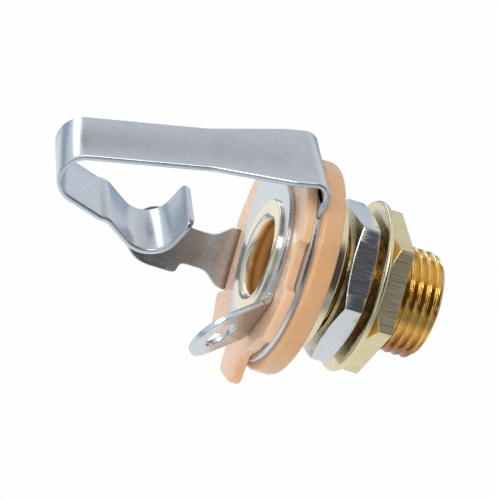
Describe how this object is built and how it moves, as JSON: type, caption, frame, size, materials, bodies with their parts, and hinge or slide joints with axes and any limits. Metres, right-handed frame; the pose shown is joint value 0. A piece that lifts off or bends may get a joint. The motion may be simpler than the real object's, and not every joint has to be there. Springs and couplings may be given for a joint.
{
  "type": "quarter inch phone jack",
  "caption": "Panel jack for a quarter inch plug: threaded bushing with nuts and washer, insulated terminal stack with solder lugs, and a folded spring arm that meets the plug's tip.",
  "frame": {"origin": "on the plug's axis, where the straight wall of the bushing's bore begins behind its mouth chamfer", "axes": "-Y out of the mouth along the plug's axis, +Z from that axis toward the spring arm, +X to the side"},
  "size_m": [0.0238, 0.0353, 0.0223],
  "materials": {
    "brass": "bright turned brass",
    "nickel": "nickel plated, machined flats",
    "spring_sheet": "nickel plated sheet, satin",
    "insulator": "peach moulded plastic, soft sheen"
  },
  "bodies": {
    "body": {"bushing": "brass", "rear_hex_nut": "nickel", "front_insulator": "insulator", "tip_terminal": "spring_sheet", "rear_insulator": "insulator", "sleeve_terminal": "spring_sheet"},
    "spring": {"tip_spring": "spring_sheet"},
    "washer": {"panel_washer": "brass"},
    "front_nut": {"front_hex_nut": "brass"}
  },
  "joints": [
    {"name": "tip_spring_flex", "type": "hinge", "parent": "body", "child": "spring", "pos_m": [0, 0.0137, 0.01019], "axis": [1, 0, 0], "range_deg": [0, 19], "stiffness_Nm_per_rad": 0.12},
    {"name": "washer_travel", "type": "slide", "parent": "body", "child": "washer", "axis": [0, -1, 0], "range_m": [-0.00043, 0.006]},
    {"name": "front_nut_turn", "type": "hinge", "parent": "washer", "child": "front_nut", "pos_m": [0, 0.0049, 0], "axis": [0, -1, 0], "range_deg": [-195, 2720]}
  ]
}
